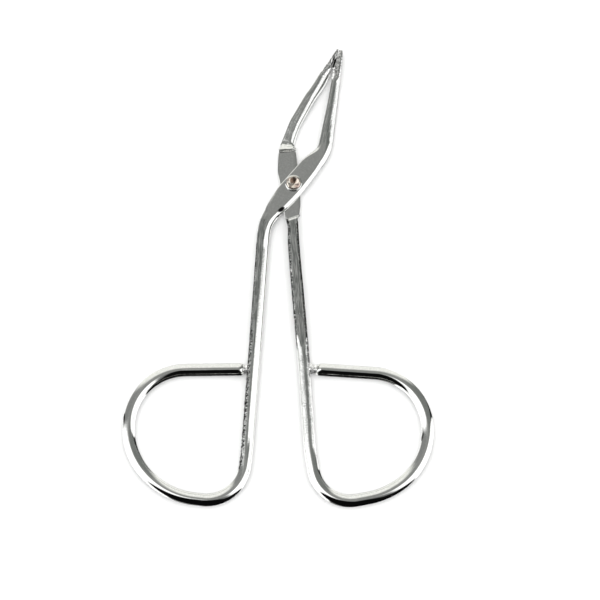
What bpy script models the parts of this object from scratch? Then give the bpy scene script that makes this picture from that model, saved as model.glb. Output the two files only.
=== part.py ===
"""Scissor-handled tweezers: two bent and forged wire levers that cross on one rivet.

The tool lies flat. X runs across the handles, Y from the finger loops to the jaws, Z up.
The origin is on the rivet's axis, at the flat underside of the rivet. The jaws are closed.
Lengths below are millimetres; they become metres where a mesh is made.
"""

import math
from collections import namedtuple

import bpy
from mathutils import Matrix, Vector

MM = 0.001

# The wire, and the heights of the parts stacked on the pivot
WIRE = 2.5
WIRE_R = WIRE / 2
REAR_BOTTOM = 0.3
REAR_TOP = 1.22
FRONT_BOTTOM = 1.3
FRONT_TOP = 2.46
SEAT_GAP = 0.03
WASHER_R = 1.72
WASHER_HEIGHT = 0.32
HEAD_R = 1.45
HEAD_HEIGHT = 0.6
RIM_R = 1.16
DISH_DEPTH = 0.32
PIN_R = 0.9
PIN_GAP = 0.07
TAIL_R = 1.7
TAIL_CHAMFER = 0.12

# The bead that closes each loop against its shank
WELD_R = 0.95
WELD_NECK = 0.85
WELD_FLARE = 1.05
WELD_LENGTH = 1.6
WELD_GAP = 0.05

# Mesh fineness
CORNER_POINTS = 3
TURNED_SIDES = 28
RIM_STEPS = 5
DISH_STEPS = 4
CUTTER_LENGTH = 10
BEND_STEP = math.radians(9)
SHANK_STEP = 6.0
FORGED_STEP = 0.6
FORGED_FROM_Y = -13.0

# A bend in a centreline: where its straight legs would meet, and the radius between them
Bend = namedtuple("Bend", "x y radius")

# A lever's section where its centreline is at y: the reach to each side of the centreline,
# the heights of its underside and top, and the radii of its four long edges
Section = namedtuple("Section", "y left right bottom top tl tr br bl")

FRONT_BENDS = [
    Bend(-10.3, -38.7, 0),
    Bend(-32.8, -39.0, 11.4),
    Bend(-33.2, -55.7, 13.7),
    Bend(-25.4, -64.0, 15.2),
    Bend(-10.7, -65.8, 7.7),
    Bend(-9.3, -55.3, 90),
    Bend(-5.9, -7.2, 11),
    Bend(6.2, 6.95, 7),
    Bend(9.75, 28.9, 0),
]

REAR_BENDS = [
    Bend(5.0, -38.7, 0),
    Bend(26.9, -40.2, 11.4),
    Bend(26.9, -58.3, 13.4),
    Bend(17.9, -64.0, 16.3),
    Bend(5.3, -66.3, 7.3),
    Bend(3.3, -55.0, 24),
    Bend(0.1, -8.0, 30),
    Bend(-1.4, 8.6, 3),
    Bend(-0.05, 12.9, 12),
    Bend(2.6, 17.8, 25),
    Bend(5.5, 22.0, 20),
    Bend(9.13, 29.2, 0),
]

ROUND = Section(-36, WIRE_R, WIRE_R, 0, WIRE, WIRE_R, WIRE_R, WIRE_R, WIRE_R)

FRONT_SECTIONS = [
    ROUND,
    Section(-28, 1.25, 1.25, 0.0, 2.5, 0.9, 1.25, 1.25, 1.1),
    Section(-14, 1.2, 1.2, 0.03, 2.48, 0.45, 1.2, 1.1, 0.8),
    Section(-9, 1.25, 1.25, 0.03, FRONT_TOP, 0.35, 1.1, 1.0, 0.5),
    Section(-6.3, 1.35, 1.5, 0.05, FRONT_TOP, 0.25, 0.9, 0.5, 0.3),
    Section(-5.6, 1.45, 1.7, FRONT_BOTTOM, FRONT_TOP, 0.2, 0.85, 0.2, 0.2),
    Section(-3.5, 1.85, 2.05, FRONT_BOTTOM, FRONT_TOP, 0.2, 0.85, 0.2, 0.2),
    Section(-1.5, 2.1, 2.2, FRONT_BOTTOM, FRONT_TOP, 0.2, 0.85, 0.2, 0.2),
    Section(3.4, 2.1, 1.95, FRONT_BOTTOM, FRONT_TOP, 0.2, 0.85, 0.2, 0.2),
    Section(4.6, 2.0, 1.7, FRONT_BOTTOM, FRONT_TOP, 0.3, 0.85, 0.2, 0.2),
    Section(5.4, 1.8, 1.5, 0.1, FRONT_TOP, 0.45, 0.9, 0.5, 0.3),
    Section(7.2, 1.3, 1.3, 0.1, 2.47, 0.7, 0.95, 0.7, 0.4),
    Section(9.5, 1.2, 1.22, 0.1, 2.47, 0.7, 1.0, 0.8, 0.5),
    Section(16.5, 1.1, 1.15, 0.15, 2.38, 0.5, 0.9, 0.8, 0.5),
    Section(21.8, 0.88, 1.05, 0.2, 2.3, 0.35, 0.8, 0.6, 0.4),
    Section(25.5, 0.88, 0.82, 0.3, 2.2, 0.2, 0.6, 0.5, 0.2),
    Section(27.6, 0.77, 0.62, 0.4, 2.1, 0.2, 0.45, 0.4, 0.2),
    Section(28.9, 0.44, 0.4, 0.5, 2.0, 0.15, 0.3, 0.3, 0.15),
]

REAR_SECTIONS = [
    ROUND,
    Section(-24, 1.22, 1.22, 0, WIRE, 0.8, 0.9, 1.2, 1.2),
    Section(-12, 1.17, 1.17, 0.1, 2.48, 0.35, 0.35, 0.8, 0.8),
    Section(-7.4, 1.3, 1.3, 0.2, 2.48, 0.2, 0.2, 0.4, 0.4),
    Section(-6.95, 1.8, 1.4, REAR_BOTTOM, REAR_TOP, 0.2, 0.2, 0.2, 0.2),
    Section(-4, 1.95, 1.7, REAR_BOTTOM, REAR_TOP, 0.2, 0.2, 0.2, 0.2),
    Section(0, 2.15, 1.85, REAR_BOTTOM, REAR_TOP, 0.2, 0.2, 0.2, 0.2),
    Section(2.5, 2.35, 1.8, REAR_BOTTOM, REAR_TOP, 0.2, 0.2, 0.2, 0.2),
    Section(4.7, 2.2, 1.77, REAR_BOTTOM, REAR_TOP, 0.2, 0.2, 0.2, 0.2),
    Section(7.65, 1.68, 1.68, REAR_BOTTOM, REAR_TOP, 0.2, 0.3, 0.2, 0.2),
    Section(8.1, 1.28, 1.28, 0.2, 2.48, 0.2, 0.5, 0.4, 0.3),
    Section(12.2, 0.98, 1.15, 0.1, 2.48, 0.2, 0.9, 0.7, 0.4),
    Section(17.6, 0.88, 1.1, 0.15, 2.38, 0.2, 0.85, 0.7, 0.4),
    Section(24.3, 0.88, 0.93, 0.25, 2.25, 0.2, 0.6, 0.5, 0.3),
    Section(25.9, 0.52, 0.5, 0.3, 2.18, 0.25, 0.3, 0.3, 0.2),
    Section(27.6, 0.38, 0.27, 0.4, 2.1, 0.2, 0.2, 0.2, 0.2),
    Section(29.2, 0.22, 0.19, 0.5, 2.0, 0.12, 0.12, 0.12, 0.12),
]


def clear_scene():
    for thing in list(bpy.data.objects):
        bpy.data.objects.remove(thing, do_unlink=True)


def new_collection(name):
    collection = bpy.data.collections.new(name)
    bpy.context.scene.collection.children.link(collection)
    return collection


def metal(name, colour, roughness):
    material = bpy.data.materials.new(name)
    material.use_nodes = True
    shader = material.node_tree.nodes["Principled BSDF"]
    shader.inputs["Base Color"].default_value = (*colour, 1)
    shader.inputs["Roughness"].default_value = roughness
    shader.inputs["Metallic"].default_value = 1
    material.diffuse_color = (*colour, 1)
    return material


def mesh_object(name, vertices, edges, faces, collection, material):
    """An object of the given mesh, with its origin on the pivot's axis."""
    mesh = bpy.data.meshes.new(name)
    mesh.from_pydata([Vector(vertex) * MM for vertex in vertices], edges, faces)
    mesh.materials.append(material)
    thing = bpy.data.objects.new(name, mesh)
    collection.objects.link(thing)
    return thing


def leg(start, end):
    """A straight stretch: its length, its turn, and its point and direction at 0 to 1."""
    direction = (end - start).normalized()
    return (end - start).length, 0.0, lambda t: (start.lerp(end, t), direction)


def arc(centre, start, direction, turn):
    """A round stretch, given as leg gives a straight one."""
    spoke = start - centre

    def place(t):
        rotation = Matrix.Rotation(turn * t, 2)
        return centre + rotation @ spoke, rotation @ direction

    return spoke.length * abs(turn), turn, place


def stretches(bends):
    """The legs and arcs of a centreline, in order."""
    corners = [Vector((bend.x, bend.y)) for bend in bends]
    found = []
    start = corners[0]
    for before, corner, after, bend in zip(corners, corners[1:], corners[2:], bends[1:]):
        enter = (corner - before).normalized()
        leave = (after - corner).normalized()
        turn = math.atan2(enter.x * leave.y - enter.y * leave.x, enter.dot(leave))
        setback = bend.radius * math.tan(abs(turn) / 2)
        arc_start = corner - enter * setback
        centre = arc_start + Vector((-enter.y, enter.x)) * math.copysign(bend.radius, turn)
        found.append(leg(start, arc_start))
        found.append(arc(centre, arc_start, enter, turn))
        start = corner + leave * setback
    found.append(leg(start, corners[-1]))
    return found


def centreline(bends):
    """Points and directions along a centreline, closer together where the wire is forged."""
    samples = []
    for length, turn, place in stretches(bends):
        forged = max(place(0)[0].y, place(1)[0].y) > FORGED_FROM_Y
        step = FORGED_STEP if forged else SHANK_STEP
        count = max(1, math.ceil(length / step), math.ceil(abs(turn) / BEND_STEP))
        samples += [place(index / count) for index in range(count)]
    samples.append(place(1))
    return samples


def section_at(sections, y):
    """The section at a height y, straight between its neighbours in the list."""
    for low, high in zip(sections, sections[1:]):
        if y <= high.y:
            t = max(0, (y - low.y) / (high.y - low.y))
            return Section(*(a + (b - a) * t for a, b in zip(low, high)))
    return sections[-1]


def outline(section):
    """The section's closed outline as (across, up) pairs, clockwise from its top left edge."""
    corners = (
        (-section.left, section.top, section.tl, 180),
        (section.right, section.top, section.tr, 90),
        (section.right, section.bottom, section.br, 0),
        (-section.left, section.bottom, section.bl, 270),
    )
    pairs = []
    for side, level, radius, first_angle in corners:
        across = side - math.copysign(radius, side)
        up = level - radius if level == section.top else level + radius
        for index in range(CORNER_POINTS):
            angle = math.radians(first_angle - 90 * (index + 0.5) / CORNER_POINTS)
            pairs.append((across + radius * math.cos(angle), up + radius * math.sin(angle)))
    return pairs


def tube_faces(rings, around):
    """Faces of a closed tube whose rings turn anticlockwise, seen from its last ring."""
    faces = [tuple(reversed(range(around)))]
    for first in range(0, (rings - 1) * around, around):
        for index in range(around):
            beside = (index + 1) % around
            corners = (first + index, first + beside, first + beside + around, first + index + around)
            faces.append(corners)
    faces.append(tuple(range((rings - 1) * around, rings * around)))
    return faces


def lever(name, bends, sections, collection, material):
    """A lever: its sections carried along its centreline, from the loop's cut end to the jaw tip."""
    samples = centreline(bends)
    vertices = []
    for point, direction in samples:
        right = Vector((direction.y, -direction.x))
        climbing = direction.y > 0
        section = section_at(sections, point.y) if climbing else ROUND
        for across, up in outline(section):
            vertices.append((*(point + right * across), up))
    faces = tube_faces(len(samples), 4 * CORNER_POINTS)
    return mesh_object(name, vertices, [], faces, collection, material)


def turned(name, profile, closed, collection, material):
    """A piece turned about its own Z axis from (radius, height) points.

    A closed profile stays clear of the axis. An open one starts and ends on it.
    """
    edges = [(index, index + 1) for index in range(len(profile) - 1)]
    if closed:
        edges.append((len(profile) - 1, 0))
    points = [(radius, 0, height) for radius, height in profile]
    thing = mesh_object(name, points, edges, [], collection, material)
    screw = thing.modifiers.new("turn", "SCREW")
    screw.steps = TURNED_SIDES
    screw.render_steps = TURNED_SIDES
    screw.use_normal_flip = True
    screw.use_merge_vertices = True
    screw.merge_threshold = 1e-6
    return thing


def cut_away(thing, radius, place, axis, cutters):
    """Cuts a round hole of this radius through a piece, about an axis through a place."""
    bpy.ops.mesh.primitive_cylinder_add(
        vertices=TURNED_SIDES,
        radius=radius * MM,
        depth=CUTTER_LENGTH * MM,
        location=place * MM,
        rotation=axis.to_track_quat("Z", "Y").to_euler(),
    )
    cutter = bpy.context.object
    cutter.name = thing.name + "_cutter"
    for holder in list(cutter.users_collection):
        holder.objects.unlink(cutter)
    cutters.objects.link(cutter)
    cutter.display_type = "WIRE"
    cutter.hide_render = True
    cut = thing.modifiers.new("cut", "BOOLEAN")
    cut.operation = "DIFFERENCE"
    cut.solver = "EXACT"
    cut.object = cutter


def weld_bead(name, bends, collection, cutters, material):
    """The bead that joins the loop's cut end to the side of the shank it closes against."""
    end = Vector((bends[0].x, bends[0].y, WIRE_R))
    along = (end - Vector((bends[1].x, bends[1].y, WIRE_R))).normalized()
    shank, direction = min(
        (sample for sample in centreline(bends) if sample[1].y > 0.9),
        key=lambda sample: (sample[0] - end.xy).length,
    )
    profile = [
        (0, WELD_GAP),
        (WELD_R, WELD_GAP),
        (WELD_NECK, WELD_LENGTH / 3),
        (WELD_FLARE, WELD_LENGTH),
        (0, WELD_LENGTH),
    ]
    bead = turned(name, profile, False, collection, material)
    bead.location = end * MM
    bead.rotation_euler = along.to_track_quat("Z", "Y").to_euler()
    place = Vector((*shank, WIRE_R))
    cut_away(bead, WIRE_R + WELD_GAP, place, Vector((*direction, 0)), cutters)
    return bead


def rivet(name, collection, material):
    """Flat tail, plain pin and a round head with a dished middle, in one piece."""
    head_bottom = FRONT_TOP + WASHER_HEIGHT + 2 * SEAT_GAP
    tail_top = REAR_BOTTOM - SEAT_GAP
    profile = [(0, 0), (TAIL_R - TAIL_CHAMFER, 0), (TAIL_R, TAIL_CHAMFER), (TAIL_R, tail_top)]
    profile += [(PIN_R, tail_top), (PIN_R, head_bottom)]
    for index in range(RIM_STEPS):
        angle = math.pi / 2 * index / RIM_STEPS
        across = RIM_R + (HEAD_R - RIM_R) * math.cos(angle)
        profile.append((across, head_bottom + HEAD_HEIGHT * math.sin(angle)))
    for index in range(DISH_STEPS + 1):
        share = 1 - index / DISH_STEPS
        sunk = DISH_DEPTH * (1 - share ** 2)
        profile.append((RIM_R * share, head_bottom + HEAD_HEIGHT - sunk))
    return turned(name, profile, False, collection, material)


def washer(name, collection, material):
    inner = PIN_R + PIN_GAP
    low = FRONT_TOP + SEAT_GAP
    high = low + WASHER_HEIGHT
    edge = 0.25 * WASHER_HEIGHT
    profile = [
        (inner, low),
        (WASHER_R, low),
        (WASHER_R, high - edge),
        (WASHER_R - edge, high),
        (inner, high),
    ]
    return turned(name, profile, True, collection, material)


def main():
    clear_scene()
    parts = new_collection("scissor_tweezers")
    cutters = new_collection("cutters")
    plating = metal("bright_plating", (0.78, 0.78, 0.77), 0.12)
    weld_metal = metal("plated_weld", (0.62, 0.62, 0.6), 0.3)
    copper = metal("copper_rivet", (0.85, 0.6, 0.47), 0.18)
    pivot = bpy.data.objects.new("front_pivot", None)
    parts.objects.link(pivot)
    front = lever("front_lever", FRONT_BENDS, FRONT_SECTIONS, parts, plating)
    rear = lever("rear_lever", REAR_BENDS, REAR_SECTIONS, parts, plating)
    for thing in (front, rear):
        cut_away(thing, PIN_R + PIN_GAP, Vector((0, 0, 0)), Vector((0, 0, 1)), cutters)
    front_weld = weld_bead("front_loop_weld", FRONT_BENDS, parts, cutters, weld_metal)
    weld_bead("rear_loop_weld", REAR_BENDS, parts, cutters, weld_metal)
    rivet("pivot_rivet", parts, copper)
    washer("rivet_washer", parts, plating)
    for moving in (front, front_weld):
        moving.parent = pivot


main()
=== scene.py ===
"""The looks of the scissor-handled tweezers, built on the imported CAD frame.

Both levers are remade at a finer step from the same bends and sections as the CAD, so that
their chrome reflects cleanly. Lengths are millimetres, and become metres where a mesh is made.
"""

import math
from collections import namedtuple

import bpy
import numpy as np
from mathutils import Matrix, Vector, noise


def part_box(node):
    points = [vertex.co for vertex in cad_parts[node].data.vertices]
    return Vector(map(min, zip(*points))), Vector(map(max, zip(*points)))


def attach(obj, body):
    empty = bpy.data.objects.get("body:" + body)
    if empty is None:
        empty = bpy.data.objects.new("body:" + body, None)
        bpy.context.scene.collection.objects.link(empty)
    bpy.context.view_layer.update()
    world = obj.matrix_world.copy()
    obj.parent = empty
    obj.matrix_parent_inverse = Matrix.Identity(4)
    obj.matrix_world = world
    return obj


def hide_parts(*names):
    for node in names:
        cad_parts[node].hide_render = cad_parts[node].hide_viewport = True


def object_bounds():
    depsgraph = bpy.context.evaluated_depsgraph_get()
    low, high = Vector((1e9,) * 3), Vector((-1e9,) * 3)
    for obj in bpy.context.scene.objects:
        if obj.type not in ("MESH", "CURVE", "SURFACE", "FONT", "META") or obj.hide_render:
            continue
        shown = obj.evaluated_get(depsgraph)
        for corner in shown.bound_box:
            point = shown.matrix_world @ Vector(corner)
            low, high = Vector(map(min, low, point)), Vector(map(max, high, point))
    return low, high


MM = 0.001

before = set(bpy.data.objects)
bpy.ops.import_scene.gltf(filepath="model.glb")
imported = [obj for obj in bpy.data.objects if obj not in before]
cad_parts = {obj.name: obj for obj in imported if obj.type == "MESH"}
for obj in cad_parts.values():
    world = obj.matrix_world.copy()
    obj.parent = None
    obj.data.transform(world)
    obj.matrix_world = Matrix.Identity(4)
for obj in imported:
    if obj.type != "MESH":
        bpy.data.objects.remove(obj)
CAD_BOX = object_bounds()


def node_box(name):
    """A CAD node's lowest and highest corner, in millimetres."""
    low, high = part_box(name)
    return low / MM, high / MM


# The wire, from the height of the plain loops
WIRE = 2.5
WIRE_R = WIRE / 2

# A bend in a centreline: where its straight legs would meet, and the radius between them
Bend = namedtuple("Bend", "x y radius")

# A lever's section where its centreline is at y: the reach to each side of the centreline,
# the heights of its underside and top, and the radii of its four long edges
Section = namedtuple("Section", "y left right bottom top tl tr br bl")

REAR_BOTTOM = 0.3
REAR_TOP = 1.22
FRONT_BOTTOM = 1.3
FRONT_TOP = 2.46

FRONT_BENDS = [
    Bend(-10.1, -38.55, 0),
    Bend(-32.8, -38.85, 11.4),
    Bend(-33.2, -55.7, 13.7),
    Bend(-25.4, -64.0, 15.2),
    Bend(-10.7, -65.8, 7.7),
    Bend(-9.3, -55.3, 90),
    Bend(-5.9, -7.2, 11),
    Bend(6.2, 6.95, 7),
    Bend(9.75, 28.9, 0),
]

REAR_BENDS = [
    Bend(4.75, -38.55, 0),
    Bend(26.9, -40.05, 11.4),
    Bend(26.9, -58.3, 13.4),
    Bend(17.9, -64.0, 16.3),
    Bend(5.3, -66.3, 7.3),
    Bend(3.3, -55.0, 24),
    Bend(0.1, -8.0, 30),
    Bend(-1.4, 8.6, 3),
    Bend(-0.05, 12.9, 12),
    Bend(2.6, 17.8, 25),
    Bend(5.5, 22.0, 20),
    Bend(9.13, 29.2, 0),
]

ROUND = Section(-36, WIRE_R, WIRE_R, 0, WIRE, WIRE_R, WIRE_R, WIRE_R, WIRE_R)

FRONT_SECTIONS = [
    ROUND._replace(y=-61),
    Section(-52, 1.25, 1.25, 0.0, 2.5, 0.75, 0.75, 0.95, 1.1),
    Section(-28, 1.25, 1.28, 0.0, 2.5, 0.5, 0.7, 0.9, 1.1),
    Section(-14, 1.3, 1.26, 0.03, 2.48, 0.35, 0.7, 0.85, 0.8),
    Section(-9, 1.35, 1.38, 0.03, FRONT_TOP, 0.75, 0.8, 0.8, 0.5),
    Section(-6.5, 1.35, 1.7, 0.05, FRONT_TOP, 0.9, 1.0, 0.5, 0.3),
    Section(-5.6, 1.45, 1.95, FRONT_BOTTOM, FRONT_TOP, 0.6, 1.1, 0.2, 0.2),
    Section(-3.5, 1.85, 2.25, FRONT_BOTTOM, FRONT_TOP, 0.45, 1.05, 0.2, 0.2),
    Section(-1.5, 2.1, 2.3, FRONT_BOTTOM, FRONT_TOP, 0.2, 0.95, 0.2, 0.2),
    Section(3.4, 2.1, 1.95, FRONT_BOTTOM, FRONT_TOP, 0.2, 0.85, 0.2, 0.2),
    Section(4.6, 2.0, 1.75, FRONT_BOTTOM, FRONT_TOP, 0.35, 0.9, 0.2, 0.2),
    Section(5.4, 1.85, 1.65, 0.1, FRONT_TOP, 0.55, 1.0, 0.5, 0.3),
    Section(7.2, 1.4, 1.55, 0.1, 2.47, 0.75, 1.15, 0.7, 0.4),
    Section(9.5, 1.32, 1.55, 0.1, 2.47, 0.85, 1.55, 0.8, 0.5),
    Section(13.5, 1.12, 1.42, 0.12, 2.42, 0.6, 1.76, 0.5, 0.45),
    Section(16.5, 0.95, 1.28, 0.15, 2.38, 0.5, 1.55, 0.6, 0.45),
    Section(20, 0.85, 1.12, 0.18, 2.33, 0.45, 1.45, 0.6, 0.4),
    Section(21.8, 0.8, 1.05, 0.2, 2.3, 0.36, 1.28, 0.6, 0.4),
    Section(22.75, 0.88, 0.98, 0.22, 2.27, 0.4, 0.75, 0.5, 0.3),
    Section(24.3, 0.8, 0.88, 0.25, 2.23, 0.36, 0.58, 0.45, 0.25),
    Section(25.5, 0.7, 0.82, 0.3, 2.2, 0.15, 0.5, 0.4, 0.2),
    Section(26.4, 0.53, 0.77, 0.33, 2.17, 0.12, 0.45, 0.35, 0.2),
    Section(27.1, 0.56, 0.73, 0.36, 2.13, 0.12, 0.42, 0.35, 0.2),
    Section(27.6, 0.5, 0.7, 0.4, 2.1, 0.12, 0.4, 0.35, 0.2),
    Section(28.1, 0.26, 0.62, 0.43, 2.06, 0.1, 0.3, 0.3, 0.12),
    Section(28.9, 0.2, 0.46, 0.5, 2.0, 0.1, 0.2, 0.2, 0.1),
]

REAR_SECTIONS = [
    ROUND,
    Section(-30.5, 1.35, 1.15, 0, WIRE, 0.4, 0.35, 1.1, 1.1),
    Section(-24, 1.48, 1.02, 0.02, WIRE, 0.5, 0.2, 1.1, 1.1),
    Section(-12, 1.58, 0.8, 0.1, 2.48, 0.45, 0.2, 0.8, 0.8),
    Section(-9.6, 1.38, 0.82, 0.15, 2.48, 0.3, 0.2, 0.5, 0.5),
    Section(-8.5, 1.42, 0.85, 0.2, 2.48, 0.2, 0.2, 0.4, 0.4),
    Section(-7.62, 1.5, 0.95, 0.2, 2.48, 0.2, 0.2, 0.4, 0.4),
    Section(-7.0, 1.62, 1.2, 0.25, 2.12, 0.2, 0.2, 0.3, 0.3),
    Section(-6.88, 1.75, 1.35, REAR_BOTTOM, REAR_TOP, 0.4, 0.2, 0.2, 0.2),
    Section(-4, 1.9, 1.7, REAR_BOTTOM, REAR_TOP, 0.45, 0.2, 0.2, 0.2),
    Section(0, 2.15, 1.85, REAR_BOTTOM, REAR_TOP, 0.2, 0.2, 0.2, 0.2),
    Section(2.5, 2.35, 1.8, REAR_BOTTOM, REAR_TOP, 0.2, 0.2, 0.2, 0.2),
    Section(4.7, 2.2, 1.77, REAR_BOTTOM, REAR_TOP, 0.2, 0.2, 0.2, 0.2),
    Section(7.1, 1.8, 1.7, REAR_BOTTOM, REAR_TOP, 0.2, 0.25, 0.2, 0.2),
    Section(7.22, 1.72, 1.68, 0.27, 1.92, 0.2, 0.25, 0.2, 0.2),
    Section(7.4, 1.66, 1.66, 0.25, 1.95, 0.2, 0.3, 0.2, 0.2),
    Section(8.7, 1.24, 1.45, 0.2, 1.4, 0.25, 0.75, 0.3, 0.3),
    Section(9.6, 1.12, 1.42, 0.15, 1.5, 0.25, 1.2, 0.14, 0.14),
    Section(10.6, 1.06, 1.41, 0.13, 1.6, 0.27, 1.28, 0.18, 0.3),
    Section(12.2, 0.98, 1.4, 0.1, 1.75, 0.3, 1.08, 0.5, 0.4),
    Section(17.6, 0.86, 1.35, 0.15, 2.22, 0.35, 1.15, 0.7, 0.4),
    Section(19.5, 0.87, 1.25, 0.18, 2.34, 0.25, 1.42, 0.6, 0.3),
    Section(22.5, 0.92, 1.15, 0.22, 2.28, 0.2, 1.72, 0.3, 0.2),
    Section(24.0, 0.74, 1.05, 0.25, 2.25, 0.2, 1.38, 0.4, 0.2),
    Section(25.0, 0.58, 0.92, 0.28, 2.22, 0.15, 0.6, 0.4, 0.2),
    Section(25.5, 0.5, 0.6, 0.3, 2.2, 0.15, 0.35, 0.3, 0.2),
    Section(25.96, 0.42, 0.34, 0.31, 2.18, 0.15, 0.2, 0.25, 0.2),
    Section(26.6, 0.33, 0.38, 0.33, 2.15, 0.12, 0.2, 0.2, 0.2),
    Section(27.1, 0.27, 0.36, 0.36, 2.12, 0.12, 0.2, 0.2, 0.2),
    Section(27.6, 0.24, 0.3, 0.4, 2.1, 0.1, 0.15, 0.15, 0.15),
    Section(28.2, 0.17, 0.4, 0.43, 2.07, 0.08, 0.15, 0.15, 0.12),
    Section(29.2, 0.1, 0.28, 0.5, 2.0, 0.06, 0.1, 0.1, 0.06),
]

# A spot of painted shade, or of painted highlight: where, half its length
# and width, how far it turns from +X, and the heights that it reaches between
Stain = namedtuple("Stain", "x y length width turn low high")

# A dent: where, its radius and its depth
Dent = namedtuple("Dent", "x y radius depth")

# Pitted plating along one edge of a shank: left (-1) or right (1), between two values of y,
# from this share of the reach outwards, and how much of it has gone dark
Wear = namedtuple("Wear", "side low high inner amount")

# Notches across the left edge of a pad: between two values of y, how far apart and how deep
Notches = namedtuple("Notches", "low high spacing depth")

# What one lever has and the other hasn't: the seed of its noise, its pitted stretches, whether
# its pad has a ledge for the grip and its upper shoulder torn metal, its notches, its spots of
# painted shade and of painted highlight and its dents, how far its lower shoulder leans and its
# cut end slants, and how steep the facet pressed into its shank is
Marks = namedtuple("Marks", "seed wear grip scarred notches stains pale dents lean slant facet")

FRONT_MARKS = Marks(
    seed=1.0,
    wear=[Wear(-1, -58, -31, 0.35, 0.6), Wear(-1, -30, -13, 0.7, 0.85)],
    grip=True,
    scarred=False,
    notches=Notches(22.6, 26.2, 0.72, 0.16),
    # Painted shade: near-black in the crevice under the heel and in the slit between the pads
    stains=[
        Stain(-2.5, -5.52, 0.9, 0.4, 36, 1.0, 2.6),
        Stain(8.45, 26.5, 1.25, 0.55, 72, 0.0, 1.9),
        Stain(8.5, 26.8, 0.9, 0.42, 70, 1.5, 2.6),
    ],
    # Painted highlights: pale spots on the pad's edge beside the gap between the pads
    pale=[
        Stain(8.28, 24.8, 0.55, 0.25, 80, 1.0, 2.6),
        Stain(8.2, 23.5, 1.2, 0.26, 82, 1.0, 2.6),
    ],
    dents=[Dent(7.5, 16.7, 0.22, 0.07)],
    lean=0.0,
    slant=0.0,
    facet=0.5,
)

REAR_MARKS = Marks(
    seed=5.0,
    wear=[Wear(1, -37, -8.5, 0.5, 1.0), Wear(-1, -33, -7.8, 0.62, 0.85)],
    grip=False,
    scarred=True,
    notches=Notches(24.2, 28.4, 0.55, 0.07),
    # Painted shade: near-black in the crevice beside the front lever's heel and in the gap between
    # the pads
    stains=[
        Stain(-1.3, -7.95, 0.72, 0.24, 92, 1.2, 2.6),
        Stain(8.3, 26.5, 1.2, 0.4, 72, 0.0, 2.0),
        Stain(7.9, 24.6, 0.5, 0.2, 60, 0.0, 1.6),
        Stain(8.5, 26.8, 0.9, 0.42, 70, 1.5, 2.6),
    ],
    # Painted highlight on the inner edge of the pad by the slit
    pale=[Stain(8.08, 26.75, 0.5, 0.16, 62, 1.0, 2.6)],
    dents=[],
    lean=0.25,
    slant=-0.19,
    facet=0.0,
)

# Where along y a feature of a lever fades in and out again
Span = namedtuple("Span", "start full fading end")
FACET_SPAN = Span(-60, -51, -8.5, -6)
GRIP_SPAN = Span(25.0, 25.3, 27.0, 27.4)
SHOULDER_SPAN = Span(-8.9, -7.3, -6.3, -4.7)
SHANK_SPAN = Span(-60, -50, -11, -8)
SCAR_SPAN = Span(7.1, 7.25, 8.3, 9.2)
SEAM_SPAN = Span(-57, -50, 22, 25)
STREAK_SPAN = Span(-37, -30, -8, -7.6)
FAINT_STREAK_SPAN = Span(-57, -50, -8, -6)

# The same for what only comes in: the two values of y that it does so between
FACET_DRIFT_Y = (-14, -6)
JAW_FORGED_Y = (9, 12)
JAW_STREAKED_Y = (8, 9)
PAD_Y = (22.4, 23.6)

# A blade is even up to the first of these distances from the pivot
BLADE_REACH = (7, 9)

# Mesh fineness: points at each corner and flat of a section, and steps along the wire. Its
# forged stretch starts at this y, and what climbs more steeply than CLIMB_SHARE is a shank, a
# blade or a jaw.
CORNER_POINTS = 15
FLAT_POINTS = 4
LOOP_STEP = 0.5
SHANK_STEP = 0.22
FORGED_STEP = 0.12
FORGED_FROM_Y = -13.0
CLIMB_SHARE = 0.9
TURNED_SIDES = 96
RIM_STEPS = 12
DISH_STEPS = 16
TAIL_STEPS = 5
WASHER_LOW_STEPS = 4
WASHER_TOP_STEPS = 8

# The cut end of the wire: its chamfer, the chamfer's length and how soon its slant is gone
CUT_CHAMFER = 0.26
CUT_LENGTH = 0.28
CUT_SLANT_LENGTH = 3

# Unevenness of the wire, of its forged stretches and of torn metal: its height, the size of
# its features and what it adds to the seed
Wave = namedtuple("Wave", "height size seed")
LOOP_WAVE = Wave(0.008, 7, 0)
FORGED_WAVE = Wave(0.012, 1.3, 9)
SCAR_WAVE = Wave(0.28, 0.3, 4)

# The ledge inside the jaw's grip: how far it reaches, what it is left of, where its top is and
# over how much height it comes in
LEDGE_REACH = 0.42
LEDGE_FROM = -0.3
LEDGE_TOP = 1.15
LEDGE_EASE = 0.15

# How soon a row of notches is full, how far a notch reaches in, and how dark its painted shade is
NOTCH_FADE = 0.3
NOTCH_REACH = 0.3
NOTCH_SHADE = 0.75

# The slanting facet pressed along the right of a shank: where it starts, across from the
# middle, how far that drifts outwards towards the heel, the depth at which its plating is
# clean, and how much of its unevenness is pressed out
FACET_FROM = -0.15
FACET_DRIFT = 0.75
FACET_CLEAN = 0.1
FACET_SMOOTHED = 0.75

# The fine seam along the right of each shank: how far in it is, its width and its lowest level
SEAM_INSET = 0.14
SEAM_WIDTH = 0.12
SEAM_ABOVE = 0.4

# How much the jaws and the clean parts of the shanks are streaked
JAW_STREAKS = 0.45
FAINT_STREAKS = 0.4

# The speckled look of a pad: how much of it the low part has, and the levels that it rises
# between
PAD_LOW = 0.35
PAD_LEVELS = (1.3, 2.0)

# How a pitted stretch comes in and goes out along y, and comes in outwards and upwards
WEAR_FADE_IN = 3
WEAR_FADE_OUT = 0.6
WEAR_EDGE = 0.25
WEAR_LEVELS = (1.2, 1.8)

# How a painted spot goes out at its rim, as shares of its size, and over how much height
PAINTED_SPOT_RIM = (0.75, 1.1)
PAINTED_SPOT_FADE = 0.1

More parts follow.
